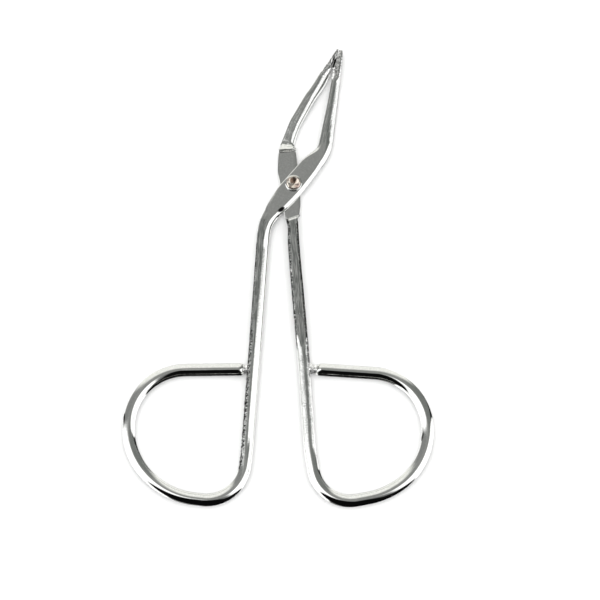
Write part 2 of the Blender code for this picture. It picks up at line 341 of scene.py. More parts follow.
# The rivet and its washer, as in the CAD, with the rivet's head leaning and its dish off centre
SEAT_GAP = 0.03
HEAD_R = 1.45
HEAD_HEIGHT = 0.6
HEAD_ROUND = 0.08
HEAD_LEAN = 0.09
HEAD_LEAN_ASIDE = 0.3
RIM_R = 1.16
DISH_DEPTH = 0.4
DISH_BLUNT = 0.16
DISH_SHIFT_X = 0.15
DISH_SHIFT_Y = -0.3
PIN_R = 0.9
PIN_GAP = 0.07
TAIL_ROUND = 0.1
WASHER_ROUND = 0.2

# The weld bead: its neck is thinnest in its first half, it spreads and flattens towards the
# shank, and it sinks into the metal at both ends, this share of it into the loop. Its bumps
# are in two layers.
WELD_R = 0.98
WELD_NECK = 0.1
WELD_NECK_RATE = 1.4
WELD_SPREAD = 0.3
WELD_SPREAD_FROM = 0.45
WELD_FLATTEN = 0.12
WELD_SINK = 0.3
WELD_LOOP_SHARE = 1 / 3
WELD_BUMPS = [Wave(0.024, 0.5, 0), Wave(0.016, 0.22, 3)]
WELD_ROWS = 24
WELD_SIDES = 40

# Noise in a material: features per millimetre, layers of detail and how strong the fine ones are
Grain = namedtuple("Grain", "scale detail roughness")
PITS = Grain(2.8, 3, 0.7)
SPECKS = Grain(3.0, 3, 0.6)
STREAKS = Grain(3.8, 3, 0.6)
CLOUD = Grain(0.6, 3, 0.6)
WELD_PITS = Grain(2.6, 4, 0.6)
COPPER_CLOUD = Grain(1.3, 3, 0.55)
BROWNING = Grain(2.2, 2, 0.5)
RAGGED = Grain(1.9, 2, 0.5)
SCUFFS = Grain(5.0, 2, 0.5)

# Streaks are noise that changes along the wire at this share of its pace round the wire
STREAK_STRETCH = 0.09

# Colours of the plating
PLATE_DULL = (0.6, 0.615, 0.59)
PLATE_BRIGHT = (0.72, 0.715, 0.71)
PLATE_LIGHT = (0.86, 0.86, 0.85)
STREAK_DARK = (0.24, 0.26, 0.25)
PAD_DARK = (0.36, 0.36, 0.36)
PAD_LIGHT = (0.97, 0.97, 0.97)
SEAM_DARK = (0.3, 0.3, 0.3)
WORN_DARK = (0.02, 0.02, 0.02)
# Near white, for the weld metal between its pits and for the painted highlights on the pads
NEAR_WHITE = (0.9, 0.9, 0.89)
# Near-black painted shade for crevices and gaps
PAINTED_SHADE = (0.004, 0.004, 0.004)

# How strongly each of them shows where it is full, and how much metal a painted highlight loses
MOTTLE_SHARE = 0.4
STREAK_SHARE = 0.75
PAD_SHARE = 0.85
SEAM_SHARE = 0.3
PAINTED_HIGHLIGHT_METAL_LOSS = 0.85

# Roughness of polished plating, and what its clouds, its pits and the pads add
ROUGH_PLATING = 0.03
ROUGH_CLOUD = 0.05
ROUGH_PITS = 0.14
ROUGH_PAD = 0.12

# How deep the bumps in the plating go
PIT_DEPTH = 0.085
SPECK_DEPTH = 0.03
STREAK_DEPTH = 0.012

# Colours of the weld and the rivet
WELD_DARK = (0.45, 0.45, 0.45)
WELD_METALLIC = 0.75
COPPER_DULL = (0.6, 0.52, 0.45)
COPPER_PALE = (0.68, 0.65, 0.59)
COPPER_BROWN = (0.42, 0.33, 0.27)
BROWN_SHARE = 0.35
COPPER_METALLIC = 0.86

# A patch on the rivet's head: where, its radius and its colour. In shares of the radius,
# this is how ragged its edge is and what the edge fades between.
Patch = namedtuple("Patch", "x y radius colour")
PATCH_RAGGED = 1.1
PATCH_RIM = (1.15, 1.75)
# The first patch is a painted dark reflection on the upper side of the dish; the second is a
# pinkish grey tint lower right
RIVET_PATCHES_AND_PAINTED_REFLECTION = [
    Patch(-0.12, 0.36, 0.72, (0.16, 0.11, 0.08)),
    Patch(0.75, -0.75, 0.6, (0.45, 0.35, 0.31)),
]


# ---------------------------------------------------------------- lever shapes


def leg(start, end):
    """A straight stretch: its length, and its point and direction at 0 to 1."""
    direction = (end - start).normalized()
    return (end - start).length, lambda t: (start.lerp(end, t), direction)


def arc(centre, start, direction, turn):
    """A round stretch, given as leg gives a straight one."""
    spoke = start - centre

    def place(t):
        rotation = Matrix.Rotation(turn * t, 2)
        return centre + rotation @ spoke, rotation @ direction

    return spoke.length * abs(turn), place


def stretches(bends):
    """The legs and arcs of a centreline, in order."""
    corners = [Vector((bend.x, bend.y)) for bend in bends]
    found = []
    start = corners[0]
    for before, corner, after, bend in zip(corners, corners[1:], corners[2:], bends[1:]):
        enter = (corner - before).normalized()
        leave = (after - corner).normalized()
        turn = math.atan2(enter.x * leave.y - enter.y * leave.x, enter.dot(leave))
        setback = bend.radius * math.tan(abs(turn) / 2)
        arc_start = corner - enter * setback
        centre = arc_start + Vector((-enter.y, enter.x)) * math.copysign(bend.radius, turn)
        found.append(leg(start, arc_start))
        found.append(arc(centre, arc_start, enter, turn))
        start = corner + leave * setback
    found.append(leg(start, corners[-1]))
    return found


def centreline(bends):
    """Arrays of points and directions along a centreline, closer together where it is forged."""
    samples = []
    for length, place in stretches(bends):
        top = max(place(0)[0].y, place(1)[0].y)
        rising = place(0.5)[1].y > CLIMB_SHARE
        step = FORGED_STEP if top > FORGED_FROM_Y and not rising else LOOP_STEP
        if rising:
            step = SHANK_STEP if top < 0 else FORGED_STEP
        count = max(1, math.ceil(length / step))
        samples += [place(index / count) for index in range(count)]
    samples.append(place(1))
    points = np.array([point for point, direction in samples])
    directions = np.array([direction for point, direction in samples])
    return points, directions


def smooth_through(keys, values, at):
    """Monotone curves through the rows of values at keys, read at each number in at."""
    gaps = np.diff(keys)
    slopes = np.diff(values, axis=0) / gaps[:, None]
    tangents = np.zeros_like(values)
    before, after = slopes[:-1], slopes[1:]
    total = before + after
    same_way = before * after > 0
    tangents[1:-1][same_way] = 2 * (before * after)[same_way] / total[same_way]
    at = np.clip(at, keys[0], keys[-1])
    low = np.clip(np.searchsorted(keys, at, side="right") - 1, 0, len(gaps) - 1)
    t = ((at - keys[low]) / gaps[low])[..., None]
    gap = gaps[low][..., None]
    return (
        (1 + 2 * t) * (1 - t) ** 2 * values[low]
        + t * (1 - t) ** 2 * gap * tangents[low]
        + t * t * (3 - 2 * t) * values[low + 1]
        + t * t * (t - 1) * gap * tangents[low + 1]
    )


def outline_rings(sections, keys, climbing):
    """Outlines as (across, up) for each ring: arcs at the four corners and points on each flat."""
    table = np.array([tuple(section) for section in sections])
    read = smooth_through(table[:, 0], table[:, 1:], keys)
    read[~climbing] = np.array(tuple(ROUND)[1:])
    left, right, bottom, top, tl, tr, br, bl = read.T
    # Each corner: its side and level, its radius, the angle that its arc starts at, and the way
    # across and up to the arc's centre
    corners = (
        (-left, top, tl, 180, 1, -1),
        (right, top, tr, 90, -1, -1),
        (right, bottom, br, 0, -1, 1),
        (-left, bottom, bl, 270, 1, 1),
    )
    across, up = [], []
    for side, level, radius, first, inward, upward in corners:
        for index in range(CORNER_POINTS):
            angle = math.radians(first - 90 * index / (CORNER_POINTS - 1))
            across.append(side + radius * (inward + math.cos(angle)))
            up.append(level + radius * (upward + math.sin(angle)))
    across, up = np.array(across).T, np.array(up).T
    whole_across, whole_up = [], []
    for corner in range(4):
        first = corner * CORNER_POINTS
        last = first + CORNER_POINTS - 1
        nxt = (last + 1) % (4 * CORNER_POINTS)
        whole_across.append(across[:, first : last + 1])
        whole_up.append(up[:, first : last + 1])
        for index in range(1, FLAT_POINTS + 1):
            t = index / (FLAT_POINTS + 1)
            whole_across.append(across[:, [last]] * (1 - t) + across[:, [nxt]] * t)
            whole_up.append(up[:, [last]] * (1 - t) + up[:, [nxt]] * t)
    return np.hstack(whole_across), np.hstack(whole_up)


def mesh_piece(name, vertices, faces, material):
    """A smooth-shaded piece from vertices in millimetres."""
    mesh = bpy.data.meshes.new(name)
    mesh.from_pydata((np.asarray(vertices) * MM).tolist(), [], faces)
    mesh.validate()
    mesh.materials.append(material)
    mesh.shade_smooth()
    thing = bpy.data.objects.new(name, mesh)
    bpy.context.scene.collection.objects.link(thing)
    return thing


def ring_faces(rings, around):
    """Faces that join rings of this many points in order, with a cap at each end."""
    faces = [tuple(reversed(range(around)))]
    for first in range(0, (rings - 1) * around, around):
        for index in range(around):
            beside = (index + 1) % around
            near, far = (first + index, first + beside), (first + beside, first + index)
            faces.append(near + tuple(corner + around for corner in far))
    faces.append(tuple(range((rings - 1) * around, rings * around)))
    return faces


def waves(points, wave, seed):
    """A wave's height at each point, above or below its middle, from smooth noise."""
    seed += wave.seed
    shift = Vector((seed, 2.3 * seed, 5.1 * seed))
    heights = [noise.noise(Vector(point) / wave.size + shift) for point in points]
    return wave.height * np.array(heights)


def steps_between(at, low, high):
    """0 below low, 1 above high, smooth between them, for an array."""
    t = np.clip((at - low) / (high - low), 0, 1)
    return t * t * (3 - 2 * t)


def within(at, span):
    """0 outside a span, 1 in its middle, smooth between them, for an array."""
    return steps_between(at, span.start, span.full) * (1 - steps_between(at, span.fading, span.end))


def painted_light_share(vertices, stains):
    """How far each point is inside the painted spots, from 0 to 1."""
    found = np.zeros(len(vertices))
    for stain in stains:
        turn = math.radians(stain.turn)
        x, y = vertices[:, 0] - stain.x, vertices[:, 1] - stain.y
        far = (x * math.cos(turn) + y * math.sin(turn)) / stain.length
        aside = (y * math.cos(turn) - x * math.sin(turn)) / stain.width
        inside = 1 - steps_between(np.hypot(far, aside), *PAINTED_SPOT_RIM)
        ends = [end + fade for end in (stain.low, stain.high) for fade in (-PAINTED_SPOT_FADE, PAINTED_SPOT_FADE)]
        found = np.maximum(found, inside * within(vertices[:, 2], Span(*ends)))
    return found


def worn_share(across, up, keys, climbing, wears):
    """How much of the plating has gone dark at each point of each ring, from 0 to 1."""
    worn = np.zeros_like(across)
    for wear in wears:
        reach = across.max(axis=1) if wear.side > 0 else across.min(axis=1)
        span = Span(wear.low - WEAR_FADE_IN, wear.low, wear.high, wear.high + WEAR_FADE_OUT)
        here = steps_between(across / reach[:, None], wear.inner, wear.inner + WEAR_EDGE)
        here *= steps_between(up, *WEAR_LEVELS) * (within(keys, span) * climbing)[:, None]
        worn = np.maximum(worn, wear.amount * here)
    return worn


def notch_depths(keys, notches):
    """How deep the row of notches is at each value of y."""
    fades = (notches.low + NOTCH_FADE, notches.high - NOTCH_FADE)
    depths = within(keys, Span(notches.low, *fades, notches.high))
    turns = 2 * math.pi * keys / notches.spacing
    return depths * notches.depth * np.clip(2 * np.cos(turns) - 1, 0, 1)


def lever(name, bends, sections, marks, material):
    """A lever from its cut end to its jaw tip, with the small unevenness of forged wire."""
    points, directions = centreline(bends)
    right = np.stack([directions[:, 1], -directions[:, 0]], axis=1)
    climbing = directions[:, 1] > 0
    keys = points[:, 1]
    across, up = outline_rings(sections, keys, climbing)
    rings, around = across.shape
    advance = np.linalg.norm(np.diff(points, axis=0), axis=1)
    travel = np.concatenate([[0], np.cumsum(advance)])
    chamfer = 1 - CUT_CHAMFER * (1 - steps_between(travel, 0, CUT_LENGTH)) / WIRE_R
    across *= chamfer[:, None]
    up = WIRE_R + (up - WIRE_R) * chamfer[:, None]

    # The pressed facet
    facet_start = FACET_FROM + FACET_DRIFT * steps_between(keys, *FACET_DRIFT_Y)
    falling = marks.facet * np.clip(across - facet_start[:, None], 0, None)
    falling *= np.clip((up - WIRE_R) / WIRE_R, 0, 1)
    falling *= (within(keys, FACET_SPAN) * climbing)[:, None]
    on_facet = np.clip(falling / FACET_CLEAN, 0, 1)
    up -= falling

    # The grip's ledge, and the notches along the pad
    if marks.grip:
        lip = (across < LEDGE_FROM) * (1 - steps_between(up, LEDGE_TOP - LEDGE_EASE, LEDGE_TOP))
        across -= LEDGE_REACH * lip * within(keys, GRIP_SPAN)[:, None]
    on_edge = (across < across.min(axis=1)[:, None] + NOTCH_REACH) * (up > LEDGE_TOP)
    notched = notch_depths(keys, marks.notches)[:, None] * on_edge
    across += notched

    # The sections where they are on the wire, with a slanting cut end and a leaning shoulder
    shift = marks.slant * across * (1 - steps_between(travel, 0, CUT_SLANT_LENGTH))[:, None]
    shift += marks.lean * across * (within(keys, SHOULDER_SPAN) * climbing)[:, None]
    places = points[:, None, :] + right[:, None, :] * across[:, :, None]
    places += directions[:, None, :] * shift[:, :, None]
    vertices = np.dstack([places, up]).reshape(-1, 3)

    # Unevenness, outwards from the middle of the wire
    outward = np.dstack([right[:, None, :] * across[:, :, None], up - WIRE_R])
    outward /= np.linalg.norm(outward, axis=2, keepdims=True)
    outward = outward.reshape(-1, 3)
    forged = np.clip(within(keys, SHANK_SPAN) * climbing + steps_between(keys, *JAW_FORGED_Y), 0, 1)
    forged = np.repeat(forged, around) * (1 - FACET_SMOOTHED * on_facet.ravel())
    on_blade = (1 - steps_between(np.abs(keys), *BLADE_REACH)) * climbing
    off_blade = 1 - np.repeat(on_blade, around)
    scar = np.repeat(within(keys, SCAR_SPAN) * marks.scarred, around)
    push = np.zeros(len(vertices))
    for wave, share in ((LOOP_WAVE, off_blade), (FORGED_WAVE, forged), (SCAR_WAVE, scar)):
        push += waves(vertices, wave, marks.seed) * share
    for dent in marks.dents:
        apart = np.hypot(vertices[:, 0] - dent.x, vertices[:, 1] - dent.y)
        push -= dent.depth * (1 - steps_between(apart, 0, dent.radius)) * (vertices[:, 2] > WIRE_R)
    vertices += outward * push[:, None]

    # What the plating reads at each point
    sides = np.hypot(np.diff(across), np.diff(up))
    girth = np.concatenate([np.zeros((rings, 1)), sides], axis=1).cumsum(axis=1)
    inset = across.max(axis=1)[:, None] - across
    seam = np.exp(-(((inset - SEAM_INSET) / SEAM_WIDTH) ** 2)) * (up > SEAM_ABOVE)
    seam *= (within(keys, SEAM_SPAN) * climbing)[:, None]
    streaked = within(keys, STREAK_SPAN) * climbing
    streaked += JAW_STREAKS * steps_between(keys, *JAW_STREAKED_Y)
    streaked += FAINT_STREAKS * within(keys, FAINT_STREAK_SPAN) * climbing
    streaked = np.clip(streaked, 0, 1)[:, None] * (1 - on_facet)
    speckled = PAD_LOW + (1 - PAD_LOW) * steps_between(up, *PAD_LEVELS)
    # Painted shade in the crevices and in the gap between the pads
    stain = painted_light_share(vertices, marks.stains)
    values = {
        "along": np.repeat(travel, around),
        "around": girth.ravel(),
        "forged": forged,
        "worn": worn_share(across, up, keys, climbing, marks.wear).ravel(),
        "seam": seam.ravel(),
        "streaked": streaked.ravel(),
        "pad": (steps_between(keys, *PAD_Y)[:, None] * speckled).ravel(),
        # Painted highlights by the gap between the pads
        "pale": painted_light_share(vertices, marks.pale),
        # Painted shade in the notches joins the painted spots
        "stain": np.maximum(stain, notched.ravel() / marks.notches.depth * NOTCH_SHADE),
    }
    thing = mesh_piece(name, vertices, ring_faces(rings, around), material)
    for label, numbers in values.items():
        made = thing.data.attributes.new(label, "FLOAT", "POINT")
        made.data.foreach_set("value", numbers.astype(np.float32))
    return thing


def turned(name, profile, closed, material):
    """A piece turned about the pivot from (radius, height) points. A closed profile is a ring."""
    profile = np.array(profile)
    angles = np.arange(TURNED_SIDES) * 2 * math.pi / TURNED_SIDES
    open_points = profile if closed else profile[1:-1]
    vertices = [
        (radius * math.cos(angle), radius * math.sin(angle), height)
        for radius, height in open_points
        for angle in angles
    ]
    faces = []
    rows = len(open_points)
    for row in range(rows if closed else rows - 1):
        here, there = row * TURNED_SIDES, (row + 1) % rows * TURNED_SIDES
        for side in range(TURNED_SIDES):
            beside = (side + 1) % TURNED_SIDES
            faces.append((here + side, here + beside, there + beside, there + side))
    if not closed:
        first, last = len(vertices), len(vertices) + 1
        vertices += [(0, 0, profile[0][1]), (0, 0, profile[-1][1])]
        top = (rows - 1) * TURNED_SIDES
        for side in range(TURNED_SIDES):
            beside = (side + 1) % TURNED_SIDES
            faces.append((first, beside, side))
            faces.append((last, top + side, top + beside))
    return mesh_piece(name, vertices, faces, material)


def rounded(corner, toward_first, toward_second, radius, steps):
    """Points that round a profile's corner between two axis directions."""
    corner, first, second = Vector(corner), Vector(toward_first), Vector(toward_second)
    centre = corner + (first + second) * radius
    found = []
    for index in range(steps + 1):
        angle = math.pi / 2 * index / steps
        spoke = second * math.cos(angle) + first * math.sin(angle)
        found.append(tuple(centre - spoke * radius))
    return found


def rivet(material):
    """The rivet: flat tail, pin, and a head whose rolled rim stands round a dished middle."""
    low, high = node_box("pivot_rivet")
    tail_r, head_top = high.x, high.z
    head_bottom = head_top - HEAD_HEIGHT
    rim_low = head_bottom + HEAD_ROUND
    tail_top = REAR_BOTTOM - SEAT_GAP
    profile = [(0, low.z)]
    profile += rounded((tail_r, low.z), (-1, 0), (0, 1), TAIL_ROUND, TAIL_STEPS)
    profile += [(tail_r, tail_top), (PIN_R, tail_top), (PIN_R, head_bottom)]
    profile += [(HEAD_R - HEAD_ROUND, head_bottom), (HEAD_R, rim_low)]
    for index in range(1, RIM_STEPS + 1):
        angle = math.pi / 2 * index / RIM_STEPS
        across = RIM_R + (HEAD_R - RIM_R) * math.cos(angle)
        profile.append((across, rim_low + (head_top - rim_low) * math.sin(angle)))
    for index in range(1, DISH_STEPS + 1):
        share = 1 - index / DISH_STEPS
        sunk = DISH_DEPTH * (1 - math.hypot(share, DISH_BLUNT)) / (1 - DISH_BLUNT)
        profile.append((RIM_R * share, head_top - max(0, sunk)))
    thing = turned("pivot_rivet_copper", profile, False, material)
    for vertex in thing.data.vertices:
        place = vertex.co
        if place.z > rim_low * MM:
            inner = max(0, 1 - math.hypot(place.x, place.y) / (RIM_R * MM))
            place.z += HEAD_LEAN * (place.y - HEAD_LEAN_ASIDE * place.x - HEAD_R * MM)
            place.y += DISH_SHIFT_Y * inner * MM
            place.x += DISH_SHIFT_X * inner * MM
    return thing


def washer(material):
    """The ring under the rivet's head."""
    low, high = node_box("rivet_washer")
    inner, outer = PIN_R + PIN_GAP, high.x
    profile = [(inner, low.z)]
    profile += rounded((outer, low.z), (-1, 0), (0, 1), WASHER_ROUND / 2, WASHER_LOW_STEPS)
    profile += rounded((outer, high.z), (0, -1), (-1, 0), WASHER_ROUND, WASHER_TOP_STEPS)
    profile += [(inner, high.z)]
    return turned("rivet_washer_chrome", profile, True, material)


def weld(name, bends, node_name, seed, material):
    """The uneven bead between a loop's cut end and its shank."""
    low, high = node_box(node_name)
    start = Vector((bends[0].x, bends[0].y, WIRE_R))
    along = (start - Vector((bends[1].x, bends[1].y, WIRE_R))).normalized()
    length = high.x - low.x + WELD_SINK
    side = Vector((-along.y, along.x, 0))
    vertices = []
    for row in range(WELD_ROWS + 1):
        t = row / WELD_ROWS
        neck = 1 - WELD_NECK * math.sin(math.pi * min(1, t * WELD_NECK_RATE))
        spread = steps_between(t, WELD_SPREAD_FROM, 1)
        wide = neck * (1 + WELD_SPREAD * spread)
        for index in range(WELD_SIDES):
            angle = 2 * math.pi * index / WELD_SIDES
            place = start + along * (t * length - WELD_SINK * WELD_LOOP_SHARE)
            place += side * (WELD_R * wide * math.cos(angle))
            place.z += WELD_R * (neck - WELD_FLATTEN * spread) * math.sin(angle)
            vertices.append(place)
    vertices = np.array(vertices)
    outward = vertices - np.array(start)
    outward -= np.outer(outward @ np.array(along), np.array(along))
    outward /= np.linalg.norm(outward, axis=1, keepdims=True)
    bumps = sum(waves(vertices, wave, seed) for wave in WELD_BUMPS)
    vertices += outward * bumps[:, None]
    return mesh_piece(name, vertices, ring_faces(WELD_ROWS + 1, WELD_SIDES), material)


# ---------------------------------------------------------------- materials


def connect(tree, target, value):
    """Links a socket to another, or sets it to a plain value."""
    if isinstance(value, bpy.types.NodeSocket):
        tree.links.new(value, target)
    else:
        target.default_value = value


def maths(tree, operation, *values):
    """The result of a maths node, with each value a socket or a number."""
    made = tree.nodes.new("ShaderNodeMath")
    made.operation = operation
    for socket, value in zip(made.inputs, values):
        connect(tree, socket, value)
    return made.outputs[0]


def ramp(tree, value, low, high):
    """0 below low, 1 above high, smooth between them."""
    made = tree.nodes.new("ShaderNodeMapRange")
    made.interpolation_type = "SMOOTHSTEP"
    connect(tree, made.inputs["Value"], value)
    made.inputs["From Min"].default_value = low
    made.inputs["From Max"].default_value = high
    return made.outputs["Result"]


def new_material(name):
    """A material, its node tree and its shader."""
    material = bpy.data.materials.new(name)
    material.use_nodes = True
    return material, material.node_tree, material.node_tree.nodes["Principled BSDF"]


def attribute(tree, name):
    """A number that the mesh holds at each of its points."""
    made = tree.nodes.new("ShaderNodeAttribute")
    made.attribute_name = name
    return made.outputs["Fac"]


def noise_at(tree, vector, grain):
    """Noise of about 0 to 1 at a place."""
    made = tree.nodes.new("ShaderNodeTexNoise")
    connect(tree, made.inputs["Vector"], vector)
    for label, value in zip(("Scale", "Detail", "Roughness"), grain):
        made.inputs[label].default_value = value
    return made.outputs["Fac"]


def place_mm(tree):
    """The place on the piece, in millimetres."""
    made = tree.nodes.new("ShaderNodeVectorMath")
    made.operation = "SCALE"
    tree.links.new(tree.nodes.new("ShaderNodeTexCoord").outputs["Object"], made.inputs[0])
    made.inputs["Scale"].default_value = 1 / MM
    return made.outputs[0]


def scaled(tree, value, factor, plus=0.0):
    """A value times a factor, plus an offset, each a socket or a number."""
    return maths(tree, "MULTIPLY_ADD", value, factor, plus)


def combine(tree, x, y, z=0.0):
    """A vector from its parts, each a socket or a number."""
    made = tree.nodes.new("ShaderNodeCombineXYZ")
    for socket, value in zip(made.inputs, (x, y, z)):
        connect(tree, socket, value)
    return made.outputs[0]


def bump(tree, shader, *layers):
    """Stacks bumps onto a shader, each as (height, depth in millimetres, strength)."""
    normal = None
    for height, depth, strength in layers:
        made = tree.nodes.new("ShaderNodeBump")
        connect(tree, made.inputs["Height"], height)
        made.inputs["Distance"].default_value = depth * MM
        connect(tree, made.inputs["Strength"], strength)
        if normal is not None:
            tree.links.new(normal, made.inputs["Normal"])
        normal = made.outputs[0]
    tree.links.new(normal, shader.inputs["Normal"])


def mixed(tree, factor, first, second):
    """A colour between two others, each a socket or three numbers."""
    made = tree.nodes.new("ShaderNodeMix")
    made.data_type = "RGBA"
    connect(tree, made.inputs["Factor"], factor)
    for socket, colour in ((made.inputs[6], first), (made.inputs[7], second)):
        connect(tree, socket, (*colour, 1) if isinstance(colour, tuple) else colour)
    return made.outputs[2]


def chrome():
    """Bright plating: clean on the loops, pitted and streaked where the wire was forged."""
    material, tree, shader = new_material("chrome_plating")
    spot = place_mm(tree)
    forged, worn, pad = attribute(tree, "forged"), attribute(tree, "worn"), attribute(tree, "pad")
    along, around = attribute(tree, "along"), attribute(tree, "around")
    pale = attribute(tree, "pale")
    lengthwise = combine(tree, scaled(tree, along, STREAK_STRETCH), around)
    pits, specks = noise_at(tree, spot, PITS), noise_at(tree, spot, SPECKS)
    streaks, cloud = noise_at(tree, lengthwise, STREAKS), noise_at(tree, spot, CLOUD)

    streaky = mixed(tree, ramp(tree, streaks, 0.38, 0.66), STREAK_DARK, PLATE_LIGHT)
    pad_tint = mixed(tree, ramp(tree, specks, 0.41, 0.59), PAD_DARK, PAD_LIGHT)
    dark = ramp(tree, scaled(tree, worn, 0.2, pits), 0.58, 0.66)
    tint = mixed(tree, cloud, PLATE_DULL, PLATE_BRIGHT)
    for share, colour in (
        (scaled(tree, ramp(tree, specks, 0.35, 0.75), MOTTLE_SHARE), PLATE_LIGHT),
        (scaled(tree, attribute(tree, "streaked"), STREAK_SHARE), streaky),
        (scaled(tree, pad, PAD_SHARE), pad_tint),
        (scaled(tree, attribute(tree, "seam"), SEAM_SHARE), SEAM_DARK),
        (scaled(tree, dark, ramp(tree, worn, 0.0, 0.4)), WORN_DARK),
        # Painted highlights: pale, less metallic spots on the pads
        (pale, NEAR_WHITE),
        # Painted shade in crevices, gaps and notches
        (attribute(tree, "stain"), PAINTED_SHADE),
    ):
        tint = mixed(tree, share, tint, colour)
    tree.links.new(tint, shader.inputs["Base Color"])
    # The painted highlights are less metallic, so they stay pale
    tree.links.new(scaled(tree, pale, -PAINTED_HIGHLIGHT_METAL_LOSS, 1.0), shader.inputs["Metallic"])

    wear = maths(tree, "MULTIPLY", ramp(tree, pits, 0.5, 0.8), forged)
    rough = scaled(tree, wear, ROUGH_PITS, scaled(tree, cloud, ROUGH_CLOUD, ROUGH_PLATING))
    tree.links.new(scaled(tree, pad, ROUGH_PAD, rough), shader.inputs["Roughness"])
    bump(
        tree,
        shader,
        (pits, PIT_DEPTH, scaled(tree, worn, 0.4, scaled(tree, forged, 0.27, 0.03))),
        (specks, SPECK_DEPTH, scaled(tree, pad, 0.4, scaled(tree, worn, 0.4))),
        (streaks, STREAK_DEPTH, scaled(tree, forged, 0.35, 0.2)),
    )
    return material


def weld_metal():
    """Pitted plating over a weld."""
    material, tree, shader = new_material("plated_weld")
    shader.inputs["Metallic"].default_value = WELD_METALLIC
    pits = noise_at(tree, place_mm(tree), WELD_PITS)
    tint = mixed(tree, ramp(tree, pits, 0.38, 0.6), WELD_DARK, NEAR_WHITE)
    tree.links.new(tint, shader.inputs["Base Color"])
    tree.links.new(scaled(tree, pits, 0.25, 0.12), shader.inputs["Roughness"])
    bump(tree, shader, (pits, 0.05, 0.6))
    return material


def patch_share(tree, spot, patch):
    """How much of a round patch, ragged at its edge, shows at a place."""
    flat = tree.nodes.new("ShaderNodeVectorMath")
    flat.operation = "MULTIPLY"
    tree.links.new(spot, flat.inputs[0])
    flat.inputs[1].default_value = (1, 1, 0)
    apart = tree.nodes.new("ShaderNodeVectorMath")
    apart.operation = "DISTANCE"
    tree.links.new(flat.outputs[0], apart.inputs[0])
    apart.inputs[1].default_value = (patch.x, patch.y, 0)
    ragged = noise_at(tree, spot, RAGGED)
    ragged = scaled(tree, ragged, PATCH_RAGGED * patch.radius, apart.outputs["Value"])
    outside = ramp(tree, ragged, *(rim * patch.radius for rim in PATCH_RIM))
    return maths(tree, "SUBTRACT", 1.0, outside)


def copper():
    """Copper showing through worn plating on the rivet, with a reflection painted dark in the dish.
    """
    material, tree, shader = new_material("copper_rivet")
    shader.inputs["Metallic"].default_value = COPPER_METALLIC
    spot = place_mm(tree)
    cloud = noise_at(tree, spot, COPPER_CLOUD)
    tint = mixed(tree, ramp(tree, cloud, 0.35, 0.7), COPPER_DULL, COPPER_PALE)
    brown = scaled(tree, ramp(tree, noise_at(tree, spot, BROWNING), 0.42, 0.6), BROWN_SHARE)
    tint = mixed(tree, brown, tint, COPPER_BROWN)
    for patch in RIVET_PATCHES_AND_PAINTED_REFLECTION:
        # The first patch paints a dark reflection in the dish
        tint = mixed(tree, patch_share(tree, spot, patch), tint, patch.colour)
    tree.links.new(tint, shader.inputs["Base Color"])
    scuffs = noise_at(tree, spot, SCUFFS)
    tree.links.new(scaled(tree, scuffs, 0.14, 0.08), shader.inputs["Roughness"])
    bump(tree, shader, (cloud, 0.12, 0.6), (scuffs, 0.015, 0.4))
    return material


# ---------------------------------------------------------------- studio


# The studio is drawn on a round plan of all directions from the object: the bearing runs round
# the plan (0 is +X, 90 is +Y) and the tilt from straight up runs outwards, both in degrees.
# A panel is a convex shape on it: corners as (bearing, tilt), how soft its edges are in
# degrees, its colour and the tilt that it starts at. A later panel covers an earlier one.
Panel = namedtuple("Panel", "corners soft colour from_tilt", defaults=(None,))

ROOM = (0.35, 0.355, 0.345)
WHITE = (1.72, 1.72, 1.72)
NEAR_BLACK = (0.03, 0.03, 0.03)
BLACK = (0.004, 0.004, 0.004)
RIGHT_CARD = [(12, 28), (13, 60), (15, 85), (18, 110), (21, 135), (27, 152)]
RIGHT_CARD += [(60, 150), (60, 60), (60, 14)]
PANELS = [
    # Right
    Panel(
        [(304, 20), (340, 24), (6, 34), (30, 150), (10, 178), (320, 178), (300, 120)],
        4,
        WHITE,
    ),
    # Right and behind
    Panel(RIGHT_CARD, 3, (0.24, 0.25, 0.24)),
    Panel([(15, 66), (18, 100), (20, 125), (30, 118), (23, 90)], 2, NEAR_BLACK),
    Panel([(18, 105), (20, 125), (25, 155), (38, 150), (30, 112)], 2, NEAR_BLACK),
    Panel([(22, 135), (26, 162), (44, 169), (54, 160), (40, 130)], 2, NEAR_BLACK),
    # Behind
    Panel(
        [(56, 130), (52, 95), (72, 44), (100, 28), (124, 36), (138, 100), (130, 170), (62, 170)],
        11,
        (1.24, 1.24, 1.19),
    ),
    # Left
    Panel(
        [(140, 10), (161, 25), (169, 75), (172, 112), (176, 178), (240, 178), (240, 60), (255, 12)],
        4,
        WHITE,
    ),
    Panel(
        [(150, 16), (163, 30), (170, 75), (172, 110), (150, 106), (136, 60), (132, 24)],
        5,
        (0.31, 0.315, 0.31),
    ),
    Panel([(136, 122), (175, 112), (178, 178), (128, 178)], 14, (1.4, 1.4, 1.4)),
    Panel([(164.5, 78), (169, 78), (168.5, 112), (161, 138), (159, 130)], 1.5, (0.05, 0.05, 0.05)),
    # In front
    Panel([(276, 20), (296, 60), (306, 66), (306, 30)], 5, (0.24, 0.24, 0.24)),
    Panel(
        [(262, 12), (219, 84), (243, 123), (262, 150), (285, 165), (300, 110), (297, 60)],
        3,
        BLACK,
    ),
    Panel([(297, 58), (332, 165), (300, 178), (285, 178), (285, 110)], 4, BLACK),
    # Below
    Panel([(280, 100), (280, 200), (330, 260), (25, 200), (25, 100)], 5, (0.12, 0.12, 0.12), 165),
]

# What the camera sees beyond the floor
BACKDROP = (0.93, 0.93, 0.93, 1)

FLOOR_COLOUR = (0.9, 0.9, 0.9, 1)
FLOOR_ROUGHNESS = 0.6
FLOOR_REACH = 3.0

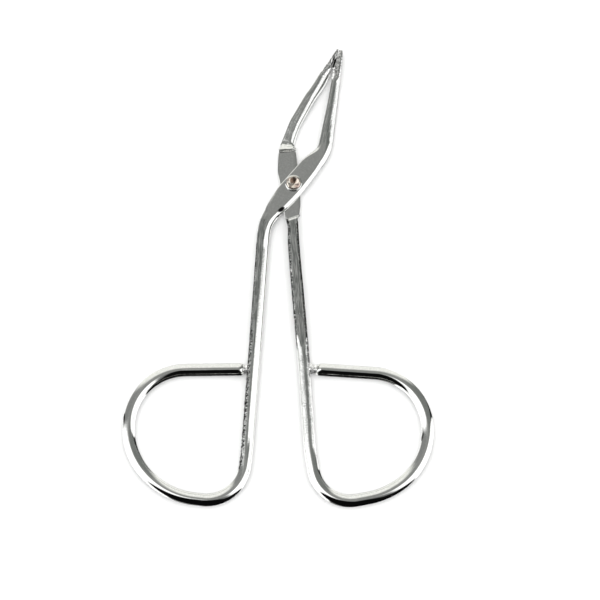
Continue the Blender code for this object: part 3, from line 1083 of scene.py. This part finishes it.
# The light over the object, in metres and watts
LIGHT_SIZE = 1.2
LIGHT_POWER = 8.6
LIGHT_PLACE = (0, 0.1, 1.0)

CAMERA_SENSOR = 36
CAMERA_LENS = 118.05
CAMERA_PLACE = (1.33, -107.4, 392.5)
CAMERA_LEAN = 12
CAMERA_CLIP = 0.01


def on_plan(bearing, tilt):
    """A direction's place on the plan."""
    bearing = math.radians(bearing)
    return Vector((tilt * math.cos(bearing), tilt * math.sin(bearing)))


def panel_share(tree, across, along, tilt, panel):
    """How much of a direction a panel fills, from 0 outside its edges to 1 inside them."""
    corners = [on_plan(*corner) for corner in panel.corners]
    middle = sum(corners, Vector((0, 0))) / len(corners)
    inside = None
    for first, second in zip(corners, corners[1:] + corners[:1]):
        normal = Vector((first.y - second.y, second.x - first.x)).normalized()
        if normal.dot(middle - first) < 0:
            normal.negate()
        depth = maths(tree, "MULTIPLY", across, normal.x)
        depth = maths(tree, "MULTIPLY_ADD", along, normal.y, depth)
        depth = maths(tree, "SUBTRACT", depth, normal.dot(first))
        inside = depth if inside is None else maths(tree, "MINIMUM", inside, depth)
    if panel.from_tilt is not None:
        inside = maths(tree, "MINIMUM", inside, maths(tree, "SUBTRACT", tilt, panel.from_tilt))
    return ramp(tree, inside, -panel.soft, panel.soft)


def studio_world():
    """The panels as a world for reflections and light, and a plain one for the camera."""
    world = bpy.data.worlds.new("studio")
    bpy.context.scene.world = world
    world.use_nodes = True
    tree = world.node_tree
    background = tree.nodes["Background"]
    split = tree.nodes.new("ShaderNodeSeparateXYZ")
    tree.links.new(tree.nodes.new("ShaderNodeTexCoord").outputs["Generated"], split.inputs[0])
    x, y, z = split.outputs
    tilt = maths(tree, "DEGREES", maths(tree, "ARCCOSINE", z))
    bearing = maths(tree, "ARCTAN2", y, x)
    across = maths(tree, "MULTIPLY", tilt, maths(tree, "COSINE", bearing))
    along = maths(tree, "MULTIPLY", tilt, maths(tree, "SINE", bearing))
    colour = ROOM
    for panel in PANELS:
        share = panel_share(tree, across, along, tilt, panel)
        colour = mixed(tree, share, colour, panel.colour)
    connect(tree, background.inputs["Color"], colour)
    plain = tree.nodes.new("ShaderNodeBackground")
    plain.inputs["Color"].default_value = BACKDROP
    seen = tree.nodes.new("ShaderNodeMixShader")
    tree.links.new(tree.nodes.new("ShaderNodeLightPath").outputs["Is Camera Ray"], seen.inputs[0])
    tree.links.new(background.outputs[0], seen.inputs[1])
    tree.links.new(plain.outputs[0], seen.inputs[2])
    tree.links.new(seen.outputs[0], tree.nodes["World Output"].inputs[0])


def floor():
    """A pale floor under the object, which the metal doesn't reflect."""
    material, _, shader = new_material("pale_floor")
    shader.inputs["Base Color"].default_value = FLOOR_COLOUR
    shader.inputs["Roughness"].default_value = FLOOR_ROUGHNESS
    shader.inputs["Specular IOR Level"].default_value = 0.0
    mesh = bpy.data.meshes.new("floor")
    ways = ((-1, -1), (1, -1), (1, 1), (-1, 1))
    corners = [(FLOOR_REACH * x, FLOOR_REACH * y, CAD_BOX[0].z) for x, y in ways]
    mesh.from_pydata(corners, [], [(0, 1, 2, 3)])
    mesh.materials.append(material)
    thing = bpy.data.objects.new("floor", mesh)
    bpy.context.scene.collection.objects.link(thing)
    thing.visible_glossy = False


def overhead_light():
    """A soft light that the metal doesn't reflect, for the shading of the floor."""
    data = bpy.data.lights.new("overhead", "AREA")
    data.size = LIGHT_SIZE
    data.energy = LIGHT_POWER
    light = bpy.data.objects.new("overhead", data)
    light.location = LIGHT_PLACE
    light.visible_glossy = False
    light.visible_camera = False
    bpy.context.scene.collection.objects.link(light)


def camera():
    """A long lens from above and a little in front."""
    data = bpy.data.cameras.new("camera")
    data.sensor_width = CAMERA_SENSOR
    data.lens = CAMERA_LENS
    data.clip_start = CAMERA_CLIP
    thing = bpy.data.objects.new("camera", data)
    thing.location = Vector(CAMERA_PLACE) * MM
    thing.rotation_euler = (math.radians(CAMERA_LEAN), 0, 0)
    bpy.context.scene.collection.objects.link(thing)
    bpy.context.scene.camera = thing


def put_on(piece, body, node_name):
    """Fixes a piece to its body, in place of a CAD node."""
    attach(piece, body)
    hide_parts(node_name)


def main():
    bpy.context.scene.view_settings.view_transform = "Standard"
    studio_world()
    floor()
    overhead_light()
    camera()
    plating, bead, rivet_metal = chrome(), weld_metal(), copper()
    front = lever("front_lever_chrome", FRONT_BENDS, FRONT_SECTIONS, FRONT_MARKS, plating)
    rear = lever("rear_lever_chrome", REAR_BENDS, REAR_SECTIONS, REAR_MARKS, plating)
    put_on(front, "front_half", "front_lever")
    put_on(rear, "rear_half", "rear_lever")
    front_weld = weld("front_weld_bead", FRONT_BENDS, "front_loop_weld", 2.0, bead)
    rear_weld = weld("rear_weld_bead", REAR_BENDS, "rear_loop_weld", 4.0, bead)
    put_on(front_weld, "front_half", "front_loop_weld")
    put_on(rear_weld, "rear_half", "rear_loop_weld")
    put_on(rivet(rivet_metal), "rear_half", "pivot_rivet")
    put_on(washer(plating), "rear_half", "rivet_washer")


main()
